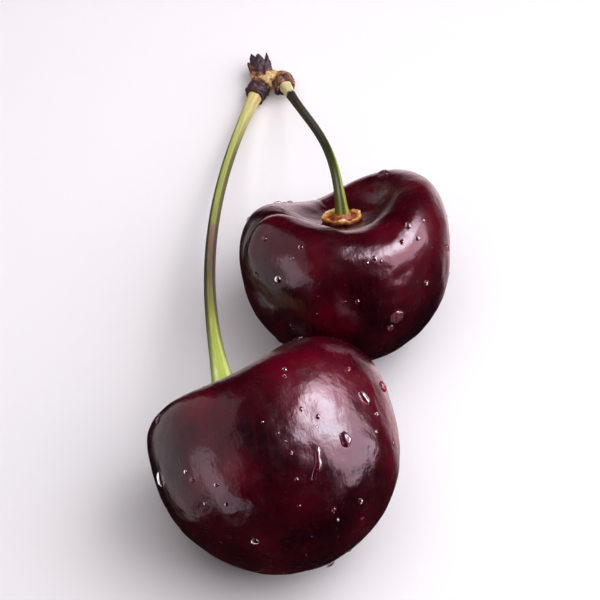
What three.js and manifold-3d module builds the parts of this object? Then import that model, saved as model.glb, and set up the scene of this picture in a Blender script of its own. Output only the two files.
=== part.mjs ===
// A pair of sweet cherries on two stalks that grow from one spur, picked and lying on a flat surface.
// Millimetres, +Z up. The surface is z = 0, and the origin is the middle of the flat spot under the large cherry.
// The pair rests on three low points: the large cherry, the small cherry and the spur.

import * as THREE from "three";
import { mergeVertices } from "three/addons/utils/BufferGeometryUtils.js";
import Module from "manifold-3d";

const wasm = await Module();
wasm.setup();

// ---------------------------------------------------------------- driving dimensions

// A cherry's own frame: +Z from the blossom end to the stalk, X from cheek to cheek, +Y the suture side.
const LARGE_CHERRY = {
  name: "cherry_large",
  width: 26.0, // cheek to cheek
  thickness: 23.2, // suture side to the side opposite
  upper: 12.8, // from the widest level up to where the skin would close over the stalk
  lower: 11.7, // from the widest level down to the blossom end
  cavityDepth: 5.4, // the funnel that the stalk stands in, down from there
  cavityAside: -0.25, // how far the funnel is off the middle towards +X, as a share of the unit sphere
  valleyDepth: 2.7, // the saddle between the two shoulders
  shoulderBias: 0.5, // how far the +X shoulder stands above the other
  centre: new THREE.Vector3(0.42, -0.78, 11.2),
  stalkWards: new THREE.Vector3(-0.25, 0.94, 0.2),
  sutureWards: new THREE.Vector3(-0.08, 0.3, -0.94),
  unevenness: 0.16,
  phase: 0.7,
};
const SMALL_CHERRY = {
  name: "cherry_small",
  width: 23.2,
  thickness: 20.8,
  upper: 11.3,
  lower: 10.2,
  cavityDepth: 5.4,
  cavityAside: 0,
  valleyDepth: 4.2,
  shoulderBias: 1.2,
  centre: new THREE.Vector3(7.87, 23.15, 9.83),
  stalkWards: new THREE.Vector3(-0.1, 0.66, 0.745),
  sutureWards: new THREE.Vector3(-0.4, 0.8, -0.52),
  unevenness: 0.2,
  phase: 2.9,
};

// Shares of the unit sphere, common to both cherries.
const FULLER_TOP = 0.08; // the girth grows towards the shoulders by this share
const SHOULDER_FULLNESS = 0.11; // and the shoulders swell out by this one
const CAVITY_WIDTH = 0.39;
const CAVITY_STEEPNESS = 3; // above 2 the funnel has a floor for the stalk's collar
const VALLEY_WIDTH = 0.5;
const SUTURE_WIDTH = 0.13;
const SUTURE_DEPTH = 0.022;
const BLOSSOM_WIDTH = 0.13;
const BLOSSOM_DEPTH = 0.045;

const STALK = {
  footRounding: 0.45, // the share by which the very end of the foot is drawn in
  footRoundedFor: 0.5,
  collarAt: 0.8, // the ring where the flower's base was
  collarLength: 0.4,
  tipSwell: 0.3, // the stalk widens a little towards the spur
  tipTaper: 2.6,
  sides: 14,
};

// The spur: two ringed knuckles, one on each stalk's end, joined by a bridge of wood that carries the bud scales.
const SPUR_CENTRE = new THREE.Vector3(-1.2, 53.4, 1.75);
const BUD_CENTRE = SPUR_CENTRE.clone().add(new THREE.Vector3(-0.6, 0.2, 0.2));
const SPUR_GROWS = new THREE.Vector3(-0.22, 0.95, 0.16);
const KNUCKLE = {
  radius: 1.08,
  length: 2.2,
  ringSwell: 0.16,
  rings: 2,
  sides: 14,
  lobes: 3, // stubs of old scales round the stalk's end
  lobeRadius: 0.42,
};
const BRIDGE_RADII = new THREE.Vector3(2.25, 1.15, 1.2);
const BRIDGE_TURN = THREE.MathUtils.degToRad(-20);
const BUD_SCALES = {
  count: 7,
  longest: 3.0,
  shortest: 1.9,
  width: 1.5,
  thickness: 0.85,
  lean: THREE.MathUtils.degToRad(24), // away from the way the spur grows
  spread: 0.55, // how far from its middle they are rooted
};
const GOLDEN_ANGLE = Math.PI * (3 - Math.sqrt(5));

const GAP = 0.3; // between one piece and the next where they meet

// Where each stalk ends at the spur, the way it runs there, and how far it keeps the direction of each end.
const LARGE_STALK = {
  name: "stalk_large",
  fruit: LARGE_CHERRY,
  middleRadius: 0.6,
  footFlare: 0.95, // it widens towards the fruit
  footTaper: 3.2,
  collarSwell: 0.25,
  leavesFor: 8,
  end: SPUR_CENTRE.clone().add(new THREE.Vector3(-1.6, -2.6, -0.3)),
  arrives: new THREE.Vector3(0.34, 0.92, -0.17),
  arrivesFor: 22,
};
const SMALL_STALK = {
  name: "stalk_small",
  fruit: SMALL_CHERRY,
  middleRadius: 0.48,
  footFlare: 0.35,
  footTaper: 2.0,
  collarSwell: 1.2,
  leavesFor: 10,
  end: SPUR_CENTRE.clone().add(new THREE.Vector3(2.2, -1.9, 0.9)),
  arrives: new THREE.Vector3(-0.27, 0.82, -0.5),
  arrivesFor: 13,
};

const CHERRY_MERIDIANS = 44;
const CHERRY_RINGS = 30;

// ---------------------------------------------------------------- joining and cutting

function solidOf(geometry) {
  const bare = geometry.index ? geometry.toNonIndexed() : geometry.clone();
  bare.deleteAttribute("normal");
  bare.deleteAttribute("uv");
  const merged = mergeVertices(bare, 1e-4);
  const corners = [];
  for (let i = 0; i < merged.index.count; i += 3) {
    const [a, b, c] = [0, 1, 2].map((k) => merged.index.getX(i + k));
    if (a !== b && b !== c && c !== a) corners.push(a, b, c);
  }
  return new wasm.Manifold(
    new wasm.Mesh({
      numProp: 3,
      vertProperties: merged.attributes.position.array,
      triVerts: new Uint32Array(corners),
    }),
  );
}

function geometryOf(solid) {
  const mesh = solid.getMesh();
  return new THREE.BufferGeometry()
    .setAttribute("position", new THREE.BufferAttribute(new Float32Array(mesh.vertProperties), 3))
    .setIndex(new THREE.BufferAttribute(new Uint32Array(mesh.triVerts), 1));
}

// Takes away what would be below the surface, which leaves a small flat spot to rest on.
function cutAtSurface(solid) {
  const depth = 10;
  const slab = new THREE.BoxGeometry(200, 200, depth).translate(0, 0, -depth / 2);
  return solid.subtract(solidOf(slab));
}

// ---------------------------------------------------------------- the cherries

const bell = (distance, width, steepness = 2) => Math.exp(-(Math.abs(distance / width) ** steepness));

// The skin's point in the cherry's own frame, for a unit vector out of its middle.
function skinPoint(way, cherry) {
  const up = Math.max(0, way.z);
  const fromAxis = Math.hypot(way.x, way.y);
  const girth = 1 + FULLER_TOP * way.z;
  const shoulders = 1 + SHOULDER_FULLNESS * 4 * up ** 2 * (1 - up ** 2);
  const point = new THREE.Vector3(
    (way.x * girth * cherry.width) / 2,
    (way.y * girth * cherry.thickness) / 2,
    way.z * (way.z > 0 ? cherry.upper : cherry.lower),
  );
  const fromFunnel = Math.hypot(way.x - cherry.cavityAside, way.y);
  const valley = bell(way.x - cherry.cavityAside, VALLEY_WIDTH) * up ** 1.5;
  const funnel = up > 0 ? bell(fromFunnel, CAVITY_WIDTH, CAVITY_STEEPNESS) : 0;
  point.z += (cherry.shoulderBias * way.x * up - cherry.valleyDepth * valley) * (1 - funnel);
  point.z -= cherry.cavityDepth * funnel;
  const suture = SUTURE_DEPTH * bell(way.x, SUTURE_WIDTH) * Math.max(0, way.y);
  const blossomEnd = way.z < 0 ? BLOSSOM_DEPTH * bell(fromAxis, BLOSSOM_WIDTH) : 0;
  point.multiplyScalar(shoulders - suture - blossomEnd);
  return point.addScaledVector(way, cherry.unevenness * unevenness(way, cherry.phase));
}

// Slow waves of the skin, from -1 to 1, that keep the fruit from being a perfect solid of revolution.
function unevenness(way, phase) {
  return (
    (Math.sin(3.1 * way.x + 1.7 * way.y + phase) +
      Math.sin(2.3 * way.y - 2.9 * way.z + 2 * phase) +
      Math.sin(3.7 * way.z + 2.1 * way.x + 3 * phase)) /
    3
  );
}

// Turns and moves the cherry's own frame to where it lies.
function placeOf(cherry) {
  const z = cherry.stalkWards.clone().normalize();
  const x = new THREE.Vector3().crossVectors(cherry.sutureWards, z).normalize();
  const y = new THREE.Vector3().crossVectors(z, x);
  return new THREE.Matrix4().makeBasis(x, y, z).setPosition(cherry.centre);
}

function cherryGeometry(cherry) {
  const geometry = new THREE.SphereGeometry(1, CHERRY_MERIDIANS, CHERRY_RINGS).rotateX(Math.PI / 2);
  const position = geometry.attributes.position;
  const way = new THREE.Vector3();
  for (let i = 0; i < position.count; i++) {
    way.fromBufferAttribute(position, i).normalize();
    position.setXYZ(i, ...skinPoint(way, cherry));
  }
  geometry.applyMatrix4(placeOf(cherry));
  return geometryOf(cutAtSurface(solidOf(geometry)));
}

// ---------------------------------------------------------------- the stalks

// A closed round shape that rises along +Y from the origin, with its radius given for each distance from there.
function turned(stations, radiusAt, sides) {
  const end = stations[stations.length - 1];
  const outline = stations.map((s) => new THREE.Vector2(radiusAt(s), s));
  return new THREE.LatheGeometry([new THREE.Vector2(0, 0), ...outline, new THREE.Vector2(0, end)], sides);
}

const evenStations = (length, steps) => Array.from({ length: steps + 1 }, (_, i) => (length * i) / steps);

function stalkCurve(stalk) {
  const aside = stalk.fruit.cavityAside;
  const cavityFloor = skinPoint(new THREE.Vector3(aside, 0, Math.sqrt(1 - aside ** 2)), stalk.fruit);
  const foot = cavityFloor.applyMatrix4(placeOf(stalk.fruit));
  const leaves = stalk.fruit.stalkWards.clone().normalize();
  const arrives = stalk.arrives.clone().normalize();
  const start = foot.addScaledVector(leaves, GAP);
  return new THREE.CubicBezierCurve3(
    start,
    start.clone().addScaledVector(leaves, stalk.leavesFor),
    stalk.end.clone().addScaledVector(arrives, -stalk.arrivesFor),
    stalk.end,
  );
}

function stalkRadius(stalk, fromFoot, length) {
  const radius =
    stalk.middleRadius +
    stalk.footFlare * Math.exp(-fromFoot / stalk.footTaper) +
    stalk.collarSwell * bell(fromFoot - STALK.collarAt, STALK.collarLength) +
    STALK.tipSwell * Math.exp(-(length - fromFoot) / STALK.tipTaper);
  return radius * (1 - STALK.footRounding * bell(fromFoot, STALK.footRoundedFor));
}

// How far from the foot each ring of the stalk is: close together in the collar, further apart beyond it.
function stalkStations(length) {
  const stations = [];
  for (let s = 0; s < length - 0.6; s += s < 1.5 ? 0.25 : s < 6 ? 0.75 : 1.3) stations.push(s);
  return [...stations, length];
}

// Bends a shape made along +Y onto a curve of the same length.
function bendAlong(geometry, curve, length) {
  const steps = 240;
  const frames = curve.computeFrenetFrames(steps);
  const position = geometry.attributes.position;
  for (let i = 0; i < position.count; i++) {
    const share = THREE.MathUtils.clamp(position.getY(i) / length, 0, 1);
    const step = Math.round(share * steps);
    const point = curve
      .getPointAt(share)
      .addScaledVector(frames.binormals[step], position.getX(i))
      .addScaledVector(frames.normals[step], position.getZ(i));
    position.setXYZ(i, ...point);
  }
  return geometry;
}

function stalkGeometry(stalk) {
  const curve = stalkCurve(stalk);
  const length = curve.getLength();
  const straight = turned(stalkStations(length), (s) => stalkRadius(stalk, s, length), STALK.sides);
  return geometryOf(solidOf(bendAlong(straight, curve, length)));
}

// ---------------------------------------------------------------- the spur

// Turns +Y to a direction and moves the origin to a point.
function aimed(direction, at) {
  const turn = new THREE.Quaternion().setFromUnitVectors(new THREE.Vector3(0, 1, 0), direction.clone().normalize());
  return new THREE.Matrix4().makeRotationFromQuaternion(turn).setPosition(at);
}

// The swollen, ringed end of a stalk, with stubs of old scales round its mouth.
function knuckle(stalk) {
  const { radius, length, ringSwell, rings, sides, lobes, lobeRadius } = KNUCKLE;
  const radiusAt = (s) => {
    const belly = 0.9 + 0.2 * Math.sin((Math.PI * s) / length);
    return radius * belly + ringSwell * Math.cos((2 * Math.PI * rings * s) / length) ** 2;
  };
  const pieces = [turned(evenStations(length, 9), radiusAt, sides)];
  for (let i = 0; i < lobes; i++) {
    const stub = new THREE.SphereGeometry(lobeRadius * (1 - 0.12 * i), 10, 8);
    pieces.push(stub.translate(radius, lobeRadius, 0).rotateY(i * GOLDEN_ANGLE + stalk.fruit.phase));
  }
  const start = stalk.end.clone().addScaledVector(stalk.arrives.clone().normalize(), GAP);
  const place = aimed(stalk.arrives, start);
  return pieces.map((piece) => solidOf(piece.applyMatrix4(place)));
}

// Pointed scales that overlap round the bud, each turned by the golden angle from the one before.
function budScales() {
  const { count, longest, shortest, width, thickness, lean, spread } = BUD_SCALES;
  const place = aimed(SPUR_GROWS, BUD_CENTRE);
  const scales = [];
  for (let i = 0; i < count; i++) {
    const length = THREE.MathUtils.lerp(longest, shortest, i / (count - 1));
    const radiusAt = (s) => (width / 2) * Math.sin(Math.PI * (0.25 + (0.75 * s) / length)) ** 0.8;
    const scale = turned(evenStations(length, 6), radiusAt, 10)
      .scale(thickness / width, 1, 1)
      .rotateZ(-lean * (0.4 + i / count))
      .translate(spread, 0, 0)
      .rotateY(i * GOLDEN_ANGLE)
      .applyMatrix4(place);
    scales.push(solidOf(scale));
  }
  return scales;
}

function spurGeometry() {
  const bridge = new THREE.SphereGeometry(1, 16, 12)
    .scale(...BRIDGE_RADII)
    .rotateZ(BRIDGE_TURN)
    .translate(...SPUR_CENTRE);
  const knuckles = [LARGE_STALK, SMALL_STALK].flatMap(knuckle);
  return geometryOf(cutAtSurface(wasm.Manifold.union([solidOf(bridge), ...knuckles, ...budScales()])));
}

// ---------------------------------------------------------------- the pair

const SKIN = new THREE.MeshStandardMaterial({ color: 0x4a0710, roughness: 0.22, metalness: 0 });
const STALK_GREEN = new THREE.MeshStandardMaterial({ color: 0x93a838, roughness: 0.5, metalness: 0 });
const SPUR_BROWN = new THREE.MeshStandardMaterial({ color: 0x6b421c, roughness: 0.8, metalness: 0 });

function named(name, geometry, material) {
  const mesh = new THREE.Mesh(geometry, material);
  mesh.name = name;
  return mesh;
}

const pair = new THREE.Group();
for (const cherry of [LARGE_CHERRY, SMALL_CHERRY]) {
  pair.add(named(cherry.name, cherryGeometry(cherry), SKIN));
}
for (const stalk of [LARGE_STALK, SMALL_STALK]) {
  pair.add(named(stalk.name, stalkGeometry(stalk), STALK_GREEN));
}
pair.add(named("spur", spurGeometry(), SPUR_BROWN));

export default pair;
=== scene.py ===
"""A pair of ripe sweet cherries on joined stalks, lying on a pale table: finished surfaces and studio.

Sizes and places are in millimetres, as in the solids, and a mesh is scaled to metres when it is made.
The studio is in metres.
"""

import math
from dataclasses import dataclass

import bpy
import numpy as np
from mathutils import Matrix, Vector, kdtree, noise


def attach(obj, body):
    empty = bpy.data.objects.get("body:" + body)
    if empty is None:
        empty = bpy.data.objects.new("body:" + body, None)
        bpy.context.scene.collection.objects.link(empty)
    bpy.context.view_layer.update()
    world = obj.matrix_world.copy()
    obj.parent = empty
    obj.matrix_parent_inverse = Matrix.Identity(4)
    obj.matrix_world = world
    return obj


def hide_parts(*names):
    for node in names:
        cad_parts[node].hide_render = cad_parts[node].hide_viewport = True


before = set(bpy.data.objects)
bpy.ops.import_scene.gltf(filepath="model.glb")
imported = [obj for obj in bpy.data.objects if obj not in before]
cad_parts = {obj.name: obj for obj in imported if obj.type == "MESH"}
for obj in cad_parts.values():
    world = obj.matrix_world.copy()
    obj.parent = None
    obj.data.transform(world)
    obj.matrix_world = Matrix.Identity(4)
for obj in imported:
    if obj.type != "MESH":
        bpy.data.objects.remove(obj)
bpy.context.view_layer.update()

MM = 0.001
TURN = 2 * math.pi
GOLDEN_ANGLE = math.pi * (3 - math.sqrt(5))

# ---------------------------------------------------------------- sizes shared with the solids


@dataclass
class Cherry:
    """One fruit. Its own frame has +Z towards the stalk, X from cheek to cheek and +Y at the suture."""

    node: str
    width: float  # from cheek to cheek
    thickness: float  # from the suture to the back
    upper: float  # from the middle up to the shoulders
    lower: float  # from the middle down to the tip
    cavity_depth: float
    valley_depth: float  # of the dip that runs over the fruit between its two shoulders
    shoulder_bias: float  # how much higher the shoulder at +X is
    cavity_aside: float  # how far the cavity lies off the axis, as a share of the fruit's size
    centre: tuple
    stalkwards: tuple
    suturewards: tuple
    unevenness: float
    phase: float  # where each fruit's own waves and dents start
    folds: float  # depth of the puckers beside the stalk
    bead_seed: int

    def place(self):
        """Turns and moves the fruit's own frame to where it lies."""
        z = Vector(self.stalkwards).normalized()
        x = Vector(self.suturewards).cross(z).normalized()
        y = z.cross(x)
        turn = Matrix((x, y, z)).transposed().to_4x4()
        return Matrix.Translation(self.centre) @ turn


LARGE = Cherry(
    node="cherry_large", width=26.0, thickness=23.2, upper=12.8, lower=11.7,
    cavity_depth=5.4, valley_depth=2.7, shoulder_bias=0.5, cavity_aside=-0.25, centre=(0.42, -0.78, 11.2),
    stalkwards=(-0.25, 0.94, 0.2), suturewards=(-0.08, 0.3, -0.94), unevenness=0.16, phase=0.7,
    folds=0.06, bead_seed=4,
)
SMALL = Cherry(
    node="cherry_small", width=23.2, thickness=20.8, upper=11.3, lower=10.2,
    cavity_depth=5.4, valley_depth=4.2, shoulder_bias=1.2, cavity_aside=0.0, centre=(7.87, 23.15, 9.83),
    stalkwards=(-0.1, 0.66, 0.745), suturewards=(-0.4, 0.8, -0.52), unevenness=0.2, phase=2.9,
    folds=0.34, bead_seed=11,
)

# Both fruits' form, in shares of the fruit's size.
FULLER_TOP = 0.08
SHOULDER_FULLNESS = 0.11
CAVITY_WIDTH = 0.39
CAVITY_STEEPNESS = 3.0
VALLEY_WIDTH = 0.5
SUTURE_WIDTH = 0.13
SUTURE_DEPTH = 0.022
BLOSSOM_WIDTH = 0.13
BLOSSOM_DEPTH = 0.045

SPUR_CENTRE = Vector((-1.2, 53.4, 1.75))
BUD_CENTRE = SPUR_CENTRE + Vector((-0.6, 0.2, 0.2))
SPUR_GROWS = Vector((-0.22, 0.95, 0.16)).normalized()


@dataclass
class Stalk:
    """A stalk's path and girth, from the floor of a cherry's cavity to its knuckle on the spur.

    It leaves the fruit along the fruit's axis and arrives at its end in a direction of its own. Each
    direction holds for a length: the longer that is, the later the stalk bends away from it. The foot widens
    by the flare, which fades over the taper.
    """

    node: str
    fruit: Cherry
    leaves_for: float
    end: Vector
    arrives: Vector
    arrives_for: float
    middle_radius: float
    foot_flare: float
    foot_taper: float


# The large stalk's foot is 0.3 wider here than in its solid, and its flare fades more slowly.
LARGE_STALK = Stalk(
    node="stalk_large", fruit=LARGE, leaves_for=8.0, end=SPUR_CENTRE + Vector((-1.6, -2.6, -0.3)),
    arrives=Vector((0.34, 0.92, -0.17)).normalized(), arrives_for=22.0,
    middle_radius=0.6, foot_flare=1.25, foot_taper=4.4,
)
SMALL_STALK = Stalk(
    node="stalk_small", fruit=SMALL, leaves_for=10.0, end=SPUR_CENTRE + Vector((2.2, -1.9, 0.9)),
    arrives=Vector((-0.27, 0.82, -0.5)).normalized(), arrives_for=13.0,
    middle_radius=0.48, foot_flare=0.35, foot_taper=2.0,
)

# ---------------------------------------------------------------- node trees and meshes


def paint(code):
    """An sRGB hex colour as linear red, green, blue and alpha."""
    parts = [int(code[i:i + 2], 16) / 255 for i in (1, 3, 5)]
    linear = [c / 12.92 if c <= 0.04045 else ((c + 0.055) / 1.055) ** 2.4 for c in parts]
    return (*linear, 1.0)


def add(tree, kind, inputs=None, stops=(), **settings):
    """Adds a node with its settings.

    An input takes a value, a socket to link, or a node, which stands for its first output in use. A colour
    ramp also takes its stops, as pairs of a position and a hex colour.
    """
    node = tree.nodes.new(kind)
    for name, value in settings.items():
        setattr(node, name, value)
    for key, value in (inputs or {}).items():
        if isinstance(value, bpy.types.Node):
            value = next(output for output in value.outputs if output.enabled)
        if isinstance(value, bpy.types.NodeSocket):
            tree.links.new(value, node.inputs[key])
        else:
            node.inputs[key].default_value = value
    if stops:
        elements = node.color_ramp.elements
        while len(elements) < len(stops):
            elements.new(0.5)
        for element, (position, code) in zip(elements, stops):
            element.position = position
            element.color = paint(code)
    return node


def new_material(name):
    """A material with an empty node tree."""
    material = bpy.data.materials.new(name)
    material.use_nodes = True
    material.node_tree.nodes.clear()
    return material, material.node_tree


def growing_tree(name, inputs, output):
    """A geometry node tree with inputs, as pairs of a name and a kind of socket, and one geometry output."""
    tree = bpy.data.node_groups.new(name, "GeometryNodeTree")
    for label, kind in inputs:
        tree.interface.new_socket(label, in_out="INPUT", socket_type="NodeSocket" + kind)
    tree.interface.new_socket(output, in_out="OUTPUT", socket_type="NodeSocketGeometry")
    return tree, add(tree, "NodeGroupInput").outputs


def grown(base, tree, name, **sizes):
    """Runs a geometry node tree on an object and returns the result as a plain mesh object."""
    modifier = base.modifiers.new(tree.name, "NODES")
    modifier.node_group = tree
    for item in tree.interface.items_tree:
        if item.in_out == "INPUT" and item.name in sizes:
            modifier[item.identifier] = sizes[item.name]
    bpy.context.view_layer.update()
    evaluated = base.evaluated_get(bpy.context.evaluated_depsgraph_get())
    mesh = bpy.data.meshes.new_from_object(evaluated)
    base.modifiers.remove(modifier)
    mesh.name = name
    piece = bpy.data.objects.new(name, mesh)
    bpy.context.scene.collection.objects.link(piece)
    return piece


def skin_over(rows):
    """Points and faces of a closed tube through equal rings of points, each end drawn to a single point."""
    count = len(rows[0])
    faces = []
    for i in range(len(rows) - 1):
        for j in range(count):
            k = (j + 1) % count
            faces.append((i * count + j, i * count + k, (i + 1) * count + k, (i + 1) * count + j))
    first = count * len(rows)
    last = first + 1
    start = first - count
    faces += [(first, (j + 1) % count, j) for j in range(count)]
    faces += [(last, start + j, start + (j + 1) % count) for j in range(count)]
    points = np.vstack((np.concatenate(rows), rows[0].mean(axis=0), rows[-1].mean(axis=0)))
    return points, faces


def joined(shapes):
    """One set of points and faces from several."""
    points = np.concatenate([shape_points for shape_points, _ in shapes])
    faces = []
    start = 0
    for shape_points, shape_faces in shapes:
        faces += [tuple(start + i for i in face) for face in shape_faces]
        start += len(shape_points)
    return points, faces


def keep_on_points(mesh, name, values):
    """Stores a number or a vector on each point of a mesh, for a material or a node tree to read."""
    values = np.asarray(values, dtype=np.float32)
    kind, field = ("FLOAT_VECTOR", "vector") if values.ndim == 2 else ("FLOAT", "value")
    mesh.attributes.new(name, kind, "POINT").data.foreach_set(field, values.ravel())


def read_points(mesh, what):
    """The places ("co") or the outward directions ("normal") of a mesh's points, a row for each."""
    values = np.empty(len(mesh.vertices) * 3)
    mesh.vertices.foreach_get(what, values)
    return values.reshape(-1, 3)


def make_piece(name, points, faces, material, **kept):
    """A smooth mesh object in metres from points in millimetres, with named values kept on its points."""
    mesh = bpy.data.meshes.new(name)
    mesh.from_pydata((np.asarray(points) * MM).tolist(), [], faces)
    mesh.shade_smooth()
    mesh.materials.append(material)
    for key, values in kept.items():
        keep_on_points(mesh, key, values)
    piece = bpy.data.objects.new(name, mesh)
    bpy.context.scene.collection.objects.link(piece)
    return piece


def settle(piece, slot, *nodes):
    """Hands a finished piece to the frame: its body and the solids it stands for, if any. The slot it is
    given is not used.
    """
    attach(piece, "root")
    if nodes:
        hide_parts(*nodes)


# ---------------------------------------------------------------- finishes

# Marks on the cherries' skin. The grain is drawn three times as coarse as a real skin's, so that it shows.
RIPE_PATCH = 9.1
STREAK_WIDTH = 0.455
STREAK_SQUASH = 0.12  # streaks run from stalk to tip, eight times as long as they are wide
PORE_SPACING = 0.91
SMUDGE_SIZE = 1.67
RIPPLE_SIZE = 1.43
RIPPLE_HEIGHT = 0.09
GRAIN_WIDTH = 0.286
GRAIN_SQUASH = 0.2
GRAIN_HEIGHT = 0.02
BLUSH_DEPTH = 1.0  # how far light wanders in the flesh

STALK_RIBS = 5.0
FIBRES_AROUND = 24.0
FIBRE_LENGTH = 2.86
FIBRE_HEIGHT = 0.04
FIBRE_WANDER = 0.03  # how far the fibres carry a colour into the next, as a share of the stalk's length
STALK_GLOW_DEPTH = 0.4

# Crumbs of cork and cracks of bark, both about twice as coarse as real ones, so that they show.
CORK_CRUMB = 0.4
CORK_ROUGHNESS = 0.12
BARK_CRACK = 0.455
BARK_CRACK_DEPTH = 0.1

WATER_IOR = 1.333
WAXED_SKIN_IOR = 1.42


def cherry_skin():
    """Ripe sweet cherry skin: a thin film of wax over dark flesh.

    To the eye it is wine red to near black in soft patches, with faint streaks from stalk to tip and pale
    pores. Its shine is sharp but uneven where the wax is smudged, and duller in the cavity, whose colour is
    darkened there as painted shade.
    """
    material, tree = new_material("ripe_cherry_skin")
    place = add(tree, "ShaderNodeAttribute", attribute_name="own_place").outputs["Vector"]
    cavity = add(tree, "ShaderNodeAttribute", attribute_name="cavity").outputs["Fac"]

    patches = add(tree, "ShaderNodeTexNoise", {"Vector": place, "Scale": 1 / RIPE_PATCH, "Detail": 3.0})
    ripeness = [(0.34, "#1a0007"), (0.5, "#38020d"), (0.68, "#580215")]
    ripe = add(tree, "ShaderNodeValToRGB", {"Fac": patches}, stops=ripeness)
    drawn_out = add(tree, "ShaderNodeMapping", {"Vector": place, "Scale": (1.0, 1.0, STREAK_SQUASH)})
    streaks = add(tree, "ShaderNodeTexNoise", {"Vector": drawn_out, "Scale": 1 / STREAK_WIDTH, "Detail": 4.0})
    streak = add(
        tree, "ShaderNodeMapRange", {"Value": streaks, "From Min": 0.45, "From Max": 0.8, "To Max": 0.08}
    )
    streaked = add(
        tree, "ShaderNodeMix", {"Factor": streak, "A": ripe, "B": paint("#8a0614")}, data_type="RGBA"
    )
    pores = add(tree, "ShaderNodeTexVoronoi", {"Vector": place, "Scale": 1 / PORE_SPACING})
    pore = add(
        tree, "ShaderNodeMapRange",
        {"Value": pores, "From Min": 0.05, "From Max": 0.12, "To Min": 0.22, "To Max": 0.0},
    )
    flecked = add(
        tree, "ShaderNodeMix", {"Factor": pore, "A": streaked, "B": paint("#8c3034")}, data_type="RGBA"
    )
    # Painted shade: the cavity's colour is darkened towards its bottom.
    painted_cavity_shade = add(tree, "ShaderNodeMath", {0: cavity, 1: 0.5}, operation="MULTIPLY")
    colour = add(
        tree, "ShaderNodeMix", {"Factor": painted_cavity_shade, "A": flecked, "B": paint("#2c0a14")}, data_type="RGBA"
    )

    sheen = add(tree, "ShaderNodeMapRange", {"Value": cavity, "To Min": 0.36, "To Max": 0.2})
    film = add(tree, "ShaderNodeMapRange", {"Value": cavity, "To Min": 0.18, "To Max": 0.04})
    smudges = add(tree, "ShaderNodeTexNoise", {"Vector": place, "Scale": 1 / SMUDGE_SIZE, "Detail": 5.0})
    roughness = add(
        tree, "ShaderNodeMapRange",
        {"Value": smudges, "From Min": 0.3, "From Max": 0.7, "To Min": 0.16, "To Max": 0.3},
    )
    ripples = add(tree, "ShaderNodeTexNoise", {"Vector": place, "Scale": 1 / RIPPLE_SIZE, "Detail": 3.0})
    soft = add(tree, "ShaderNodeBump", {"Strength": 0.8, "Distance": RIPPLE_HEIGHT * MM, "Height": ripples})
    stretched = add(tree, "ShaderNodeMapping", {"Vector": place, "Scale": (1.0, 1.0, GRAIN_SQUASH)})
    grain = add(tree, "ShaderNodeTexNoise", {"Vector": stretched, "Scale": 1 / GRAIN_WIDTH, "Detail": 3.0})
    fine = add(
        tree, "ShaderNodeBump",
        {"Strength": 0.6, "Distance": GRAIN_HEIGHT * MM, "Height": grain, "Normal": soft},
    )
    shader = add(tree, "ShaderNodeBsdfPrincipled", {
        "Base Color": colour,
        "Roughness": roughness,
        "IOR": WAXED_SKIN_IOR,
        "Normal": fine,
        "Specular IOR Level": sheen,
        "Specular Tint": paint("#ffdce6"),
        "Coat Weight": film,
        "Coat Roughness": 0.1,
        "Coat Normal": fine,
        "Subsurface Weight": 0.06,
        "Subsurface Radius": (1.0, 0.12, 0.08),
        "Subsurface Scale": BLUSH_DEPTH * MM,
    })
    add(tree, "ShaderNodeOutputMaterial", {"Surface": shader})
    return material


@dataclass
class StalkColours:
    """A stalk's colours along it, from foot to tip, and the painted shade they are multiplied by from side to
    side.
    """

    along: list
    across: list
    tip_from: float  # the shares of its length between which the sides' painted shade fades away at the tip
    tip_at: float
    foot_rib_highlight: float  # how strongly painted highlights make the ridges of the flared foot's ribs paler


STALK_COLOURS = {
    "stalk_large": StalkColours(
        along=[
            (0.0, "#c4d45c"), (0.13, "#b8c858"), (0.23, "#a8ac54"), (0.31, "#8c8850"), (0.4, "#7c6c50"),
            (0.5, "#8a6e60"), (0.55, "#94766a"), (0.565, "#98a058"), (0.8, "#b4bc6c"), (0.93, "#d0cc84"),
            (1.0, "#e8cc8c"),
        ],
        # Painted shade: the left side is multiplied darker and olive, the right edge darker and browner, the
        # middle left as it is.
        across=[
            (0.12, "#988070"), (0.26, "#c4ac98"), (0.38, "#ffffff"), (0.55, "#ffffff"), (0.68, "#8e9050"),
            (0.85, "#646830"),
        ],
        tip_from=0.8, tip_at=0.95, foot_rib_highlight=2.4,
    ),
    "stalk_small": StalkColours(
        along=[
            (0.0, "#b89028"), (0.04, "#b0b42c"), (0.12, "#a4b02c"), (0.22, "#88982c"), (0.32, "#626c28"),
            (0.45, "#565c26"), (0.9, "#52582a"), (0.916, "#565c2e"), (0.926, "#fbeeb8"), (1.0, "#fbf0c4"),
        ],
        # Painted shade: the left side is multiplied darker, the right side is left nearly as it is.
        across=[(0.1, "#ffffff"), (0.26, "#d8d8b0"), (0.42, "#706e3c"), (0.7, "#4e4c20"), (0.9, "#66642c")],
        tip_from=0.915, tip_at=0.93, foot_rib_highlight=0.25,
    ),
}


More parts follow.
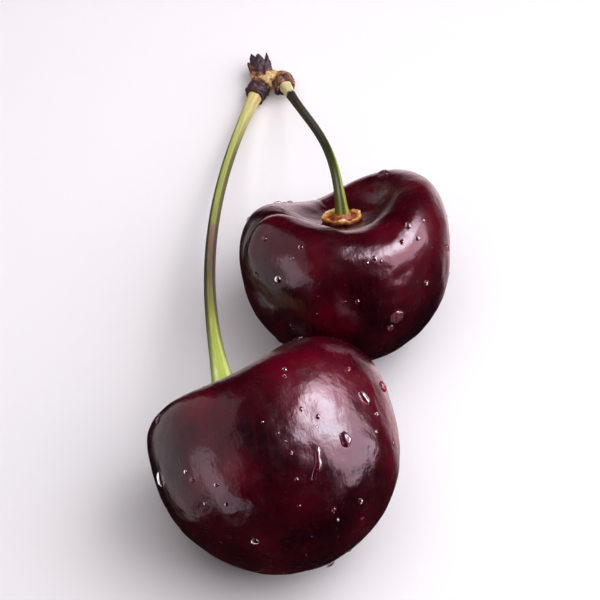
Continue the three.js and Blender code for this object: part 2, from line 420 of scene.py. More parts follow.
def stalk_green(name, colours):
    """Fresh cherry stalk: smooth, faintly fibrous skin with little shine.

    To the eye it goes from yellow-green at the foot to a dark or wine-flushed middle and a pale tip. Painted
    shade makes one of its sides darker than the other, and painted highlights make the ridges of a wide
    foot's ribs paler.
    """
    material, tree = new_material(name)
    share = add(tree, "ShaderNodeAttribute", attribute_name="share").outputs["Fac"]
    around = add(tree, "ShaderNodeAttribute", attribute_name="around").outputs["Fac"]
    along = add(tree, "ShaderNodeAttribute", attribute_name="along").outputs["Fac"]
    painted_shade_side = add(tree, "ShaderNodeAttribute", attribute_name="painted_shade_side").outputs["Fac"]
    flared = add(tree, "ShaderNodeAttribute", attribute_name="flared").outputs["Fac"]

    unrolled = add(tree, "ShaderNodeCombineXYZ", {"X": around, "Y": along})
    stretch = (FIBRES_AROUND, 1 / FIBRE_LENGTH, 1.0)
    lengthwise = add(tree, "ShaderNodeMapping", {"Vector": unrolled, "Scale": stretch})
    fibres = add(tree, "ShaderNodeTexNoise", {"Vector": lengthwise, "Scale": 1.0, "Detail": 3.0})
    wander = add(tree, "ShaderNodeMath", {0: fibres, 1: FIBRE_WANDER, 2: share}, operation="MULTIPLY_ADD")
    green = add(tree, "ShaderNodeValToRGB", {"Fac": wander}, stops=colours.along)

    # Painted highlights: the ridges of the ribs are mixed paler towards the flared foot.
    turns = add(tree, "ShaderNodeMath", {0: around, 1: TURN * STALK_RIBS}, operation="MULTIPLY")
    rib = add(tree, "ShaderNodeMath", {0: turns}, operation="SINE")
    ridge = add(tree, "ShaderNodeMapRange", {"Value": rib, "From Min": -0.2, "To Max": 0.9})
    foot = add(
        tree, "ShaderNodeMath", {0: flared, 1: colours.foot_rib_highlight}, operation="MULTIPLY", use_clamp=True
    )
    painted_rib_highlight = add(tree, "ShaderNodeMath", {0: ridge, 1: foot}, operation="MULTIPLY")
    ribbed = add(tree, "ShaderNodeMix", {"Factor": painted_rib_highlight, "A": green, "B": paint("#eaf0ac")}, data_type="RGBA")
    vein = add(
        tree, "ShaderNodeMapRange", {"Value": fibres, "From Min": 0.35, "From Max": 0.7, "To Max": 0.4}
    )
    veined = add(
        tree, "ShaderNodeMix", {"Factor": vein, "A": ribbed, "B": paint("#9a9c62")},
        data_type="RGBA", blend_type="MULTIPLY",
    )

    tip = add(
        tree, "ShaderNodeMapRange",
        {"Value": wander, "From Min": colours.tip_from, "From Max": colours.tip_at, "To Max": 0.85},
    )
    ends = add(tree, "ShaderNodeMath", {0: foot, 1: tip}, operation="ADD", use_clamp=True)
    between = add(tree, "ShaderNodeMath", {0: 1.0, 1: ends}, operation="SUBTRACT")
    # Painted shade across the stalk, faded out at the flared foot and at the pale tip.
    painted_side_shade = add(tree, "ShaderNodeValToRGB", {"Fac": painted_shade_side}, stops=colours.across)
    colour = add(
        tree, "ShaderNodeMix", {"Factor": between, "A": veined, "B": painted_side_shade},
        data_type="RGBA", blend_type="MULTIPLY",
    )
    bump = add(tree, "ShaderNodeBump", {"Strength": 0.5, "Distance": FIBRE_HEIGHT * MM, "Height": fibres})
    shader = add(tree, "ShaderNodeBsdfPrincipled", {
        "Base Color": colour,
        "Roughness": 0.5,
        "Specular IOR Level": 0.22,
        "Normal": bump,
        "Subsurface Weight": 0.1,
        "Subsurface Radius": (0.7, 1.0, 0.3),
        "Subsurface Scale": STALK_GLOW_DEPTH * MM,
    })
    add(tree, "ShaderNodeOutputMaterial", {"Surface": shader})
    return material


def corky_collar():
    """Scar of the flower's base: dry matte cork, pale gold on the lip and red-brown in the groove.

    Over that colour, painted highlights lighten the lip where it rises and painted shade darkens the groove.
    """
    material, tree = new_material("corky_collar")
    lip = add(tree, "ShaderNodeAttribute", attribute_name="lip").outputs["Fac"]
    place = add(tree, "ShaderNodeTexCoord").outputs["Object"]
    crumbs = add(tree, "ShaderNodeTexNoise", {"Vector": place, "Scale": 1 / (CORK_CRUMB * MM), "Detail": 3.0})
    mottled = add(tree, "ShaderNodeMath", {0: crumbs, 1: 0.5, 2: lip}, operation="MULTIPLY_ADD")
    # The lowest stops stand partly for painted shade in the groove, the palest for painted highlights on the
    # lip.
    shades = [(0.3, "#5c1e06"), (0.5, "#a85812"), (0.7, "#d8984c"), (0.92, "#f8dcae")]
    colour = add(tree, "ShaderNodeValToRGB", {"Fac": mottled}, stops=shades)
    bump = add(tree, "ShaderNodeBump", {"Strength": 0.9, "Distance": CORK_ROUGHNESS * MM, "Height": crumbs})
    shader = add(
        tree, "ShaderNodeBsdfPrincipled",
        {"Base Color": colour, "Roughness": 0.65, "Specular IOR Level": 0.3, "Normal": bump},
    )
    add(tree, "ShaderNodeOutputMaterial", {"Surface": shader})
    return material


def spur_bark():
    """Fruit spur bark: dry, cracked and matte, dark purple-brown on the scales.

    Where it is worn it shows rust, and tan wood where it is gone.
    """
    material, tree = new_material("spur_bark")
    place = add(tree, "ShaderNodeTexCoord").outputs["Object"]
    wood = add(tree, "ShaderNodeAttribute", attribute_name="wood").outputs["Fac"]
    cracks = add(tree, "ShaderNodeTexNoise", {"Vector": place, "Scale": 1 / (BARK_CRACK * MM), "Detail": 4.0})
    dark_stops = [(0.35, "#16050b"), (0.52, "#360e1a"), (0.7, "#64403e")]
    rust_stops = [(0.34, "#30140a"), (0.5, "#824826"), (0.66, "#bb8454")]
    wood_stops = [(0.3, "#7a5222"), (0.46, "#cfa468"), (0.66, "#e8cc98")]
    dark = add(tree, "ShaderNodeValToRGB", {"Fac": cracks}, stops=dark_stops)
    rust = add(tree, "ShaderNodeValToRGB", {"Fac": cracks}, stops=rust_stops)
    tan = add(tree, "ShaderNodeValToRGB", {"Fac": cracks}, stops=wood_stops)
    worn_share = add(tree, "ShaderNodeMapRange", {"Value": wood, "From Min": 0.1, "From Max": 0.45})
    bare_share = add(tree, "ShaderNodeMapRange", {"Value": wood, "From Min": 0.6, "From Max": 0.9})
    worn = add(tree, "ShaderNodeMix", {"Factor": worn_share, "A": dark, "B": rust}, data_type="RGBA")
    colour = add(tree, "ShaderNodeMix", {"Factor": bare_share, "A": worn, "B": tan}, data_type="RGBA")
    bump = add(tree, "ShaderNodeBump", {"Strength": 0.8, "Distance": BARK_CRACK_DEPTH * MM, "Height": cracks})
    shader = add(
        tree, "ShaderNodeBsdfPrincipled",
        {"Base Color": colour, "Roughness": 0.65, "Specular IOR Level": 0.3, "Normal": bump},
    )
    add(tree, "ShaderNodeOutputMaterial", {"Surface": shader})
    return material


def wetted_skin():
    """Skin under a drop: dark red with no shine of its own, because water takes the gloss off it."""
    material, tree = new_material("wetted_cherry_skin")
    shader = add(
        tree, "ShaderNodeBsdfPrincipled",
        {"Base Color": paint("#240209"), "Roughness": 0.9, "Specular IOR Level": 0.0},
    )
    add(tree, "ShaderNodeOutputMaterial", {"Surface": shader})
    return material


def clear_water():
    """Rinsing water, beaded by the skin's wax: clear and smooth, with a bright spark and a dark edge."""
    material, tree = new_material("clear_water")
    shader = add(
        tree, "ShaderNodeBsdfPrincipled",
        {"Base Color": paint("#ffffff"), "Roughness": 0.0, "IOR": WATER_IOR, "Transmission Weight": 1.0},
    )
    add(tree, "ShaderNodeOutputMaterial", {"Surface": shader})
    return material


# ---------------------------------------------------------------- the cherries

SKIN_MERIDIANS = 264
SKIN_RINGS = 170

# Fine relief of the skin: widths and places in shares of the fruit's size, depths and heights in millimetres.
CREASE_WIDTH = 0.014
CREASE_DEPTH = 0.07
SCAR_PIT_WIDTH = 0.035
SCAR_PIT_DEPTH = 0.18
SCAR_RIM_RADIUS = 0.05
SCAR_RIM_WIDTH = 0.014
SCAR_RIM_HEIGHT = 0.10
BROAD_DENTS = 3.4  # to a fruit's radius
SMALL_DENTS = 7.5
SMALL_DENT_SHARE = 0.5  # of the broad ones' depth
DENT_DEPTH = 0.09


@dataclass
class Pleat:
    """A pucker of the skin that runs from one shoulder to the cavity and bends as it goes."""

    start: float
    bend: float
    width: float
    depth: float  # in folds of its fruit. Below zero it is a ridge


PLEATS = [Pleat(0.12, 0.47, 0.045, 0.9), Pleat(0.14, 0.47, 0.14, 1.3), Pleat(-0.06, 0.47, 0.09, -0.6)]
PLEATS_FROM = -0.75
PLEATS_LENGTH = 0.55
PLEATS_MIDDLE = 0.4
PLEATS_FADE = 0.7


def bell(distance, width, steepness=2.0):
    """A smooth bump, 1 in its middle, that falls to about a third at its width."""
    return np.exp(-np.abs(distance / width) ** steepness)


def cavity_share(way, cherry):
    """How far into the stalk cavity a point is, from 0 on the cheeks to 1 at the bottom."""
    out = np.hypot(way[:, 0] - cherry.cavity_aside, way[:, 1])
    return np.where(way[:, 2] > 0, bell(out, CAVITY_WIDTH, CAVITY_STEEPNESS), 0)


def skin_points(way, cherry):
    """The smooth skin in the fruit's own frame, for unit vectors out of its middle, as the solids have it."""
    x, y, z = way.T
    up = np.maximum(0.0, z)
    from_axis = np.hypot(x, y)
    girth = 1 + FULLER_TOP * z
    point = np.column_stack((
        x * girth * cherry.width / 2,
        y * girth * cherry.thickness / 2,
        z * np.where(z > 0, cherry.upper, cherry.lower),
    ))
    valley = bell(x - cherry.cavity_aside, VALLEY_WIDTH) * up**1.5
    funnel = cavity_share(way, cherry)
    point[:, 2] += (cherry.shoulder_bias * x * up - cherry.valley_depth * valley) * (1 - funnel)
    point[:, 2] -= cherry.cavity_depth * funnel
    shoulders = 1 + SHOULDER_FULLNESS * 4 * up**2 * (1 - up**2)
    suture = SUTURE_DEPTH * bell(x, SUTURE_WIDTH) * np.maximum(0, y)
    blossom_end = np.where(z < 0, BLOSSOM_DEPTH * bell(from_axis, BLOSSOM_WIDTH), 0)
    waves = (
        np.sin(3.1 * x + 1.7 * y + cherry.phase)
        + np.sin(2.3 * y - 2.9 * z + 2 * cherry.phase)
        + np.sin(3.7 * z + 2.1 * x + 3 * cherry.phase)
    ) / 3
    return point * (shoulders - suture - blossom_end)[:, None] + way * (cherry.unevenness * waves)[:, None]


def cavity_floor(cherry):
    """Where the stalk grows out, in the fruit's own frame."""
    aside = cherry.cavity_aside
    return skin_points(np.array([[aside, 0.0, math.sqrt(1 - aside**2)]]), cherry)[0]


def skin_relief(way, cherry):
    """Fine relief in millimetres: the suture's crease, puckers by the stalk, the tip's scar and dents."""
    x, y, z = way.T
    crease = -CREASE_DEPTH * bell(x, CREASE_WIDTH) * np.maximum(0, y) ** 0.5

    inward = (x - PLEATS_FROM) / PLEATS_LENGTH
    bent = np.clip(inward, 0, 1) ** 2.5
    fading = bell(np.clip(inward - PLEATS_MIDDLE, -2, 2), PLEATS_FADE, 4)
    pleats = sum(
        -pleat.depth * bell(y - pleat.start + pleat.bend * bent, pleat.width) * fading * (z > 0)
        for pleat in PLEATS
    )

    from_axis = np.hypot(x, y)
    rim = SCAR_RIM_HEIGHT * bell(from_axis - SCAR_RIM_RADIUS, SCAR_RIM_WIDTH)
    scar = np.where(z < 0, rim - SCAR_PIT_DEPTH * bell(from_axis, SCAR_PIT_WIDTH), 0)

    seed = Vector((cherry.phase * 7, 3.1, 5.7))
    broad = np.array([noise.noise(Vector(w) * BROAD_DENTS + seed) for w in way])
    small = np.array([noise.noise(Vector(w) * SMALL_DENTS + seed) for w in way])
    return crease + cherry.folds * pleats + scar + DENT_DEPTH * (broad + SMALL_DENT_SHARE * small)


def placed(points, cherry):
    """Points of the fruit's own frame, moved to where it lies and flattened where it touches the table."""
    matrix = np.array(cherry.place())
    lying = points @ matrix[:3, :3].T + matrix[:3, 3]
    lying[:, 2] = np.maximum(0.0, lying[:, 2])
    return lying


def unit_rings(meridians, rings):
    """Rings of unit vectors from just off the -Z pole to just off the +Z pole."""
    turns = np.linspace(0, TURN, meridians, endpoint=False)
    rows = []
    for tilt in np.linspace(-math.pi / 2, math.pi / 2, rings + 2)[1:-1]:
        flat = math.cos(tilt)
        height = np.full(meridians, math.sin(tilt))
        rows.append(np.column_stack((flat * np.cos(turns), flat * np.sin(turns), height)))
    return rows


def cherry_fruit(cherry, material):
    """The whole skin of one fruit. It keeps each point's place in the fruit's own frame, for its patterns."""
    way, faces = skin_over(unit_rings(SKIN_MERIDIANS, SKIN_RINGS))
    way /= np.linalg.norm(way, axis=1)[:, None]
    own = skin_points(way, cherry) + way * skin_relief(way, cherry)[:, None]
    piece = make_piece(
        cherry.node + "_skin", placed(own, cherry), faces, material,
        own_place=own, cavity=cavity_share(way, cherry),
    )
    settle(piece, "cherry_skin", cherry.node)
    return piece


# ---------------------------------------------------------------- the stalks

STALK_STEPS = 260
STALK_SIDES = 40
RIB_HEIGHT = 0.035
RIB_GAIN_AT_FOOT = 3.0  # how many more times its height a rib stands out at the foot
TIP_SWELL = 0.3
TIP_TAPER = 2.6
STARTS_ABOVE_FLOOR = 0.1
SUNK_IN_KNUCKLE = 0.6

# The collar's section, as pairs of a distance from the stalk's middle and a height over the cavity's floor.
# It runs from its top inside the stalk down into the groove, out to the lip and back in under it.
COLLAR_SECTION = [
    (0.4, 0.9), (0.95, 0.75), (1.05, 0.42), (1.2, 0.26), (1.4, 0.28), (1.6, 0.38), (1.82, 0.54),
    (1.98, 0.62), (2.08, 0.57), (2.1, 0.4), (2.02, 0.08), (1.7, -0.12), (0.4, -0.3),
]
COLLAR_SIDES = 240
COLLAR_GROOVE = 1.0  # where the lip starts to wave, and how far it is from there to the lip's edge
COLLAR_LIP = 1.1
# The waves of the lip, as pairs of how many go round it and how high they are: sideways as a share of its
# width, and upwards in millimetres.
LIP_SIDEWAYS = ((2, 0.06), (3, 0.06), (5, 0.05), (7, 0.05), (13, 0.02))
LIP_UPWARDS = ((2, 0.18), (3, 0.18), (5, 0.16), (7, 0.1), (11, 0.05), (23, 0.03))
# The cork's colour goes from brown in the groove to gold on the lip and on into painted highlights, with
# painted
# shade deepest in the groove: with its height, more so where the lip waves up, and by the groove at only a
# share of what it does at the lip's edge.
GOLD_AND_HIGHLIGHT_WITH_HEIGHT = 0.75
GOLD_AND_HIGHLIGHT_WITH_WAVES = 1.6
GOLD_AND_HIGHLIGHT_IN_GROOVE = 0.35


def stalk_tree():
    """Sweeps a ribbed round section along a curve. It widens towards the foot and a little at the tip."""
    inputs = [("Path", "Geometry")]
    sizes = ("Middle Radius", "Foot Flare", "Foot Taper", "Tip Swell", "Tip Taper", "Ribs", "Rib Height")
    inputs += [(size, "Float") for size in sizes]
    inputs += [("Finish", "Material")]
    tree, given = growing_tree("stalk", inputs, "Stalk")

    path = add(tree, "GeometryNodeResampleCurve", {"Curve": given["Path"], "Count": STALK_STEPS})
    whole = add(tree, "GeometryNodeSplineLength")
    so_far = add(tree, "GeometryNodeSplineParameter").outputs
    back_to_foot = add(tree, "ShaderNodeMath", {0: so_far["Length"], 1: -1.0}, operation="MULTIPLY")
    foot_fade = add(tree, "ShaderNodeMath", {0: back_to_foot, 1: given["Foot Taper"]}, operation="DIVIDE")
    flare = add(tree, "ShaderNodeMath", {0: foot_fade}, operation="EXPONENT")
    to_tip = add(tree, "ShaderNodeMath", {0: whole, 1: so_far["Length"]}, operation="SUBTRACT")
    back_to_tip = add(tree, "ShaderNodeMath", {0: to_tip, 1: -1.0}, operation="MULTIPLY")
    tip_fade = add(tree, "ShaderNodeMath", {0: back_to_tip, 1: given["Tip Taper"]}, operation="DIVIDE")
    swell = add(tree, "ShaderNodeMath", {0: tip_fade}, operation="EXPONENT")
    widened = add(
        tree, "ShaderNodeMath", {0: flare, 1: given["Foot Flare"], 2: given["Middle Radius"]},
        operation="MULTIPLY_ADD",
    )
    girth = add(
        tree, "ShaderNodeMath", {0: swell, 1: given["Tip Swell"], 2: widened}, operation="MULTIPLY_ADD"
    )
    along = add(tree, "ShaderNodeMath", {0: so_far["Length"], 1: MM}, operation="DIVIDE")
    for name, value in (("along", along), ("share", so_far["Factor"]), ("girth", girth), ("flared", flare)):
        path = add(
            tree, "GeometryNodeStoreNamedAttribute", {"Geometry": path, "Name": name, "Value": value},
            data_type="FLOAT", domain="POINT",
        )

    ring = add(tree, "GeometryNodeCurvePrimitiveCircle", {"Resolution": STALK_SIDES, "Radius": 1.0})
    turned_so_far = add(tree, "GeometryNodeSplineParameter").outputs["Factor"]
    ring = add(
        tree, "GeometryNodeStoreNamedAttribute", {"Geometry": ring, "Name": "around", "Value": turned_so_far},
        data_type="FLOAT", domain="POINT",
    )
    thick = add(tree, "GeometryNodeInputNamedAttribute", {"Name": "girth"}, data_type="FLOAT")
    tube = add(
        tree, "GeometryNodeCurveToMesh",
        {"Curve": path, "Profile Curve": ring, "Scale": thick, "Fill Caps": True},
    )

    around = add(tree, "GeometryNodeInputNamedAttribute", {"Name": "around"}, data_type="FLOAT")
    turns = add(tree, "ShaderNodeMath", {0: around, 1: TURN}, operation="MULTIPLY")
    rib_turns = add(tree, "ShaderNodeMath", {0: turns, 1: given["Ribs"]}, operation="MULTIPLY")
    rib = add(tree, "ShaderNodeMath", {0: rib_turns}, operation="SINE")
    flared = add(tree, "GeometryNodeInputNamedAttribute", {"Name": "flared"}, data_type="FLOAT")
    gain = add(
        tree, "ShaderNodeMath", {0: flared, 1: RIB_GAIN_AT_FOOT, 2: 1.0}, operation="MULTIPLY_ADD"
    )
    raised = add(tree, "ShaderNodeMath", {0: rib, 1: gain}, operation="MULTIPLY")
    lift = add(tree, "ShaderNodeMath", {0: raised, 1: given["Rib Height"]}, operation="MULTIPLY")
    normal = add(tree, "GeometryNodeInputNormal")
    offset = add(tree, "ShaderNodeVectorMath", {"Vector": normal, "Scale": lift}, operation="SCALE")
    ribbed = add(tree, "GeometryNodeSetPosition", {"Geometry": tube, "Offset": offset})
    smooth = add(tree, "GeometryNodeSetShadeSmooth", {"Geometry": ribbed})
    real = add(tree, "GeometryNodeRealizeInstances", {"Geometry": smooth})
    finished = add(tree, "GeometryNodeSetMaterial", {"Geometry": real, "Material": given["Finish"]})
    add(tree, "NodeGroupOutput", {"Stalk": finished})
    return tree


def stalk_foot(stalk):
    """Where the stalk leaves its cherry."""
    return stalk.fruit.place() @ Vector(cavity_floor(stalk.fruit))


def stalk_path(stalk):
    """The stalk's curve, as the solid has it, from inside the collar to a little inside the knuckle."""
    foot = stalk_foot(stalk)
    leaves = Vector(stalk.fruit.stalkwards).normalized()
    end, arrives = stalk.end, stalk.arrives
    curve = bpy.data.curves.new(stalk.node + "_path", "CURVE")
    curve.dimensions = "3D"
    curve.resolution_u = 64
    spline = curve.splines.new("BEZIER")
    spline.bezier_points.add(1)
    ends = (
        (foot + leaves * STARTS_ABOVE_FLOOR, foot - leaves, foot + leaves * stalk.leaves_for),
        (end + arrives * SUNK_IN_KNUCKLE, end - arrives * stalk.arrives_for, end + arrives),
    )
    for point, (at, before, after) in zip(spline.bezier_points, ends):
        point.handle_left_type = point.handle_right_type = "FREE"
        point.co = at * MM
        point.handle_left = before * MM
        point.handle_right = after * MM
    path = bpy.data.objects.new(curve.name, curve)
    bpy.context.scene.collection.objects.link(path)
    return path


def fresh_stalk(stalk, tree, material):
    """One stalk. It keeps how far each point lies to one side or the other, from 0 to 1, for the painted
    shade on one side.
    """
    path = stalk_path(stalk)
    sizes = {
        "Middle Radius": stalk.middle_radius * MM,
        "Foot Flare": stalk.foot_flare * MM,
        "Foot Taper": stalk.foot_taper * MM,
        "Tip Swell": TIP_SWELL * MM,
        "Tip Taper": TIP_TAPER * MM,
        "Ribs": STALK_RIBS,
        "Rib Height": RIB_HEIGHT * MM,
        "Finish": material,
    }
    piece = grown(path, tree, stalk.node + "_fresh", **sizes)
    bpy.data.objects.remove(path)
    # The direction across the stalk along which its painted side shade runs.
    sideways = (stalk.end - stalk_foot(stalk)).cross((0, 0, 1)).normalized()
    painted_shade_side = 0.5 - 0.5 * read_points(piece.data, "normal") @ np.array(sideways)
    keep_on_points(piece.data, "painted_shade_side", painted_shade_side)
    settle(piece, "stalk", stalk.node)


def collar(stalk, material):
    """The lobed ring at the stalk's foot: a groove round the stalk and a thin waved lip."""
    turns = np.linspace(0, TURN, COLLAR_SIDES, endpoint=False)
    rng = np.random.default_rng(stalk.fruit.bead_seed)
    wobble, lumps = (
        sum(size * rng.uniform(0.4, 1.0) * np.sin(k * turns + rng.uniform(0, TURN)) for k, size in waves)
        for waves in (LIP_SIDEWAYS, LIP_UPWARDS)
    )
    rows, lips = [], []
    for radius, height in reversed(COLLAR_SECTION):
        share = max(0.0, (radius - COLLAR_GROOVE) / COLLAR_LIP)
        flat = radius * (1 + wobble * share)
        rows.append(np.column_stack((flat * np.cos(turns), flat * np.sin(turns), height + lumps * share)))
        # Height and the lip's waves lift the value past the cork's own brown and gold into painted
        # highlights; the groove's low value is partly painted shade.
        rise = height + GOLD_AND_HIGHLIGHT_WITH_WAVES * lumps * share
        lips.append(GOLD_AND_HIGHLIGHT_WITH_HEIGHT * rise * (GOLD_AND_HIGHLIGHT_IN_GROOVE + (1 - GOLD_AND_HIGHLIGHT_IN_GROOVE) * share))
    points, faces = skin_over(rows)
    lip = np.concatenate(lips + [np.zeros(2)])
    points = placed(points + cavity_floor(stalk.fruit), stalk.fruit)
    piece = make_piece(stalk.node + "_collar", points, faces, material, lip=lip)
    settle(piece, "stalk", stalk.node)


# ---------------------------------------------------------------- the spur

KNUCKLE_LENGTH = 2.3
KNUCKLE_RADIUS = 1.08
KNUCKLE_RING = 0.16  # height of the old rings round a knuckle
SUNK_OVER_STALK = 0.2  # how far the stalk's end lies before its knuckle's mouth
KNOBS = 5
KNOB_RADIUS = 0.42
KNOB_SHRINKS = 0.1  # each knob is smaller than the one before by this share of the first
KNOB_OUT = 1.05  # how far a knob's middle lies off the knuckle's axis
KNOB_LOWEST = 0.4  # how far up the knuckle the first knob lies, and the step to each next one
KNOB_STEP = 0.15
BRIDGE_HALVES = (2.25, 1.15, 1.2, 1.0)
BRIDGE_TURN = math.radians(-20)
BUD_SCALES = 9
BUD_SCALE_LENGTH = 3.1  # of the inmost, and how much shorter each one further out is
BUD_SCALE_SHORTER = 0.15
BUD_SCALE_WIDTH = 0.75  # from its middle line to its edge
BUD_SCALE_THINNESS = 0.5
BUD_SCALE_HOOK = -0.35
BUD_SCALE_OUT = 0.5  # how far its foot lies off the bud's axis
BUD_SCALE_LEAN = 12  # degrees for the inmost, and how many more for each one further out
BUD_SCALE_SPREAD = 3.4
SPUR_GRAIN = 0.07
BARK_LUMPS = 2.6  # to a millimetre
BARK_LUMP_HEIGHT = 0.09

# How much bare wood shows, from 0 for dark bark to 1 for tan wood.
DARK_BARK = 0.0
FRAYED_SCALE = 0.2
RUSTY_BARK = 0.55
TAN_WOOD = 1.0


def aimed(direction, at):
    """Turns +Z to a direction and moves the origin to a point."""
    return Matrix.Translation(at) @ Vector((0, 0, 1)).rotation_difference(direction).to_matrix().to_4x4()


def turned(radius_at, length, steps, sides, flatten=1.0, hook=0.0):
    """A round shape that rises along +Z, flattened in Y and hooked towards +Y at its top."""
    turns = np.linspace(0, TURN, sides, endpoint=False)
    rows = []
    for s in np.linspace(0, 1, steps + 1):
        radius = max(0.02, radius_at(s))
        x = radius * np.cos(turns)
        y = radius * np.sin(turns) * flatten + hook * s**2
        rows.append(np.column_stack((x, y, np.full(sides, s * length))))
    return skin_over(rows)


def unit_ball(s):
    """The radius of a unit ball at a share of its height."""
    return math.sqrt(max(0.0, 1 - (2 * s - 1) ** 2))


def knuckle_outline(s):
    """The radius of a barrel with old rings round it, at a share of its length."""
    barrel = KNUCKLE_RADIUS * (0.9 + 0.2 * math.sin(math.pi * s))
    return barrel + KNUCKLE_RING * math.cos(2 * TURN * s) ** 2


def bud_scale_outline(s):
    """Half the width of a leaf shape that comes to a point, at a share of its length."""
    return BUD_SCALE_WIDTH * math.sin(math.pi * (0.25 + 0.75 * s)) ** 0.8


def carried(shape, matrix):
    """A shape's points turned and moved, and its faces."""
    points, faces = shape
    matrix = np.array(matrix)
    return points @ matrix[:3, :3].T + matrix[:3, 3], faces


def spur_parts():
    """The spur's parts before they are grown together, each with how much bare wood shows."""
    parts = []
    for stalk, wood in ((LARGE_STALK, DARK_BARK), (SMALL_STALK, RUSTY_BARK)):
        start = aimed(stalk.arrives, stalk.end + stalk.arrives * SUNK_OVER_STALK)
        knuckle = turned(knuckle_outline, KNUCKLE_LENGTH, 24, 32)
        parts.append((carried(knuckle, start), wood))
        for i in range(KNOBS):
            angle = i * GOLDEN_ANGLE + stalk.fruit.phase
            radius = KNOB_RADIUS * (1 - KNOB_SHRINKS * i)
            height = KNOB_LOWEST + KNOB_STEP * i
            rim = Vector((KNOB_OUT * math.cos(angle), KNOB_OUT * math.sin(angle), height))
            knob = turned(lambda s: radius * unit_ball(s), 2 * radius, 12, 16)
            parts.append((carried(knob, start @ Matrix.Translation(rim - Vector((0, 0, radius)))), DARK_BARK))

    bridge = turned(unit_ball, 2.0, 20, 32)
    stretched = Matrix.Rotation(BRIDGE_TURN, 4, "Z") @ Matrix.Diagonal(BRIDGE_HALVES)
    in_place = Matrix.Translation(SPUR_CENTRE) @ stretched @ Matrix.Translation((0, 0, -1))
    parts.append((carried(bridge, in_place), TAN_WOOD))

    for i in range(BUD_SCALES):
        length = BUD_SCALE_LENGTH - BUD_SCALE_SHORTER * i
        lean = math.radians(BUD_SCALE_LEAN + BUD_SCALE_SPREAD * i)
        bud_scale = turned(bud_scale_outline, length, 16, 20, BUD_SCALE_THINNESS, BUD_SCALE_HOOK)
        in_place = (
            aimed(SPUR_GROWS, BUD_CENTRE)
            @ Matrix.Rotation(i * GOLDEN_ANGLE, 4, "Z")
            @ Matrix.Translation((0, BUD_SCALE_OUT, 0))
            @ Matrix.Rotation(-lean, 4, "X")
        )
        parts.append((carried(bud_scale, in_place), DARK_BARK if i % 3 else FRAYED_SCALE))
    return parts


def woody_spur(material):
    """Grows the parts together into one skin, then roughens it as bark is."""
    parts = spur_parts()
    points, faces = joined([shape for shape, _ in parts])
    woods = np.concatenate([np.full(len(shape[0]), wood) for shape, wood in parts])
    mesh = bpy.data.meshes.new("spur_parts")
    mesh.from_pydata(points.tolist(), [], faces)
    rough = bpy.data.objects.new("spur_parts", mesh)
    bpy.context.scene.collection.objects.link(rough)
    remesh = rough.modifiers.new("one skin", "REMESH")
    remesh.mode = "VOXEL"
    remesh.voxel_size = SPUR_GRAIN
    smooth = rough.modifiers.new("worn", "SMOOTH")
    smooth.iterations = 2
    bpy.context.view_layer.update()
    one_skin = bpy.data.meshes.new_from_object(rough.evaluated_get(bpy.context.evaluated_depsgraph_get()))
    bpy.data.objects.remove(rough)

    skin = read_points(one_skin, "co")
    outward = read_points(one_skin, "normal")
    nearest = kdtree.KDTree(len(points))
    for i, point in enumerate(points):
        nearest.insert(point, i)
    nearest.balance()
    wood = np.array([np.mean([woods[i] for _, i, _ in nearest.find_n(point, 6)]) for point in skin])
    lumps = np.array([noise.fractal(Vector(point) * BARK_LUMPS, 1.0, 2.0, 4) for point in skin])
    skin = skin + outward * (BARK_LUMP_HEIGHT * lumps)[:, None]
    skin[:, 2] = np.maximum(0.0, skin[:, 2])
    shell = [tuple(face.vertices) for face in one_skin.polygons]
    piece = make_piece("spur_bark", skin, shell, material, wood=wood)
    settle(piece, "spur_bark", "spur")


# ---------------------------------------------------------------- water

BEAD_SPACING = 1.1
BEADS_TO_SQUARE_METRE = 60000.0
SMALLEST_BEAD = 0.12
LARGEST_BEAD = 0.75
RARITY = 4.0  # the higher, the rarer the larger beads are
FLATTEST_BEAD = (0.85, 0.85, 0.42)
ROUNDEST_BEAD = (1.2, 1.2, 0.6)
DRY_BELOW = 3.0  # height over the table under which no bead clings
WET_PATCHES = 0.14  # to a millimetre
WET_BETWEEN = 0.35  # how wet the skin is midway between a wet patch and a dry one, of 1 for the wettest
WET_CONTRAST = 1.6

DROP_SIDES = 32
DROP_STEPS = 7  # rings of a drop's water, from its edge up
DROP_HEIGHT = 0.42  # as a share of its width, up to the width where it flattens
DROP_FLATTENS_AT = 1.1
WETTED_RINGS = (0.35, 0.7, 0.98)
WETTED_LIFT = 0.015
CLEAR_OF_FRUIT = 40  # how far off the fruit's middle, and off its skin, a drop's place is sought from
CLEAR_OF_SKIN = 2


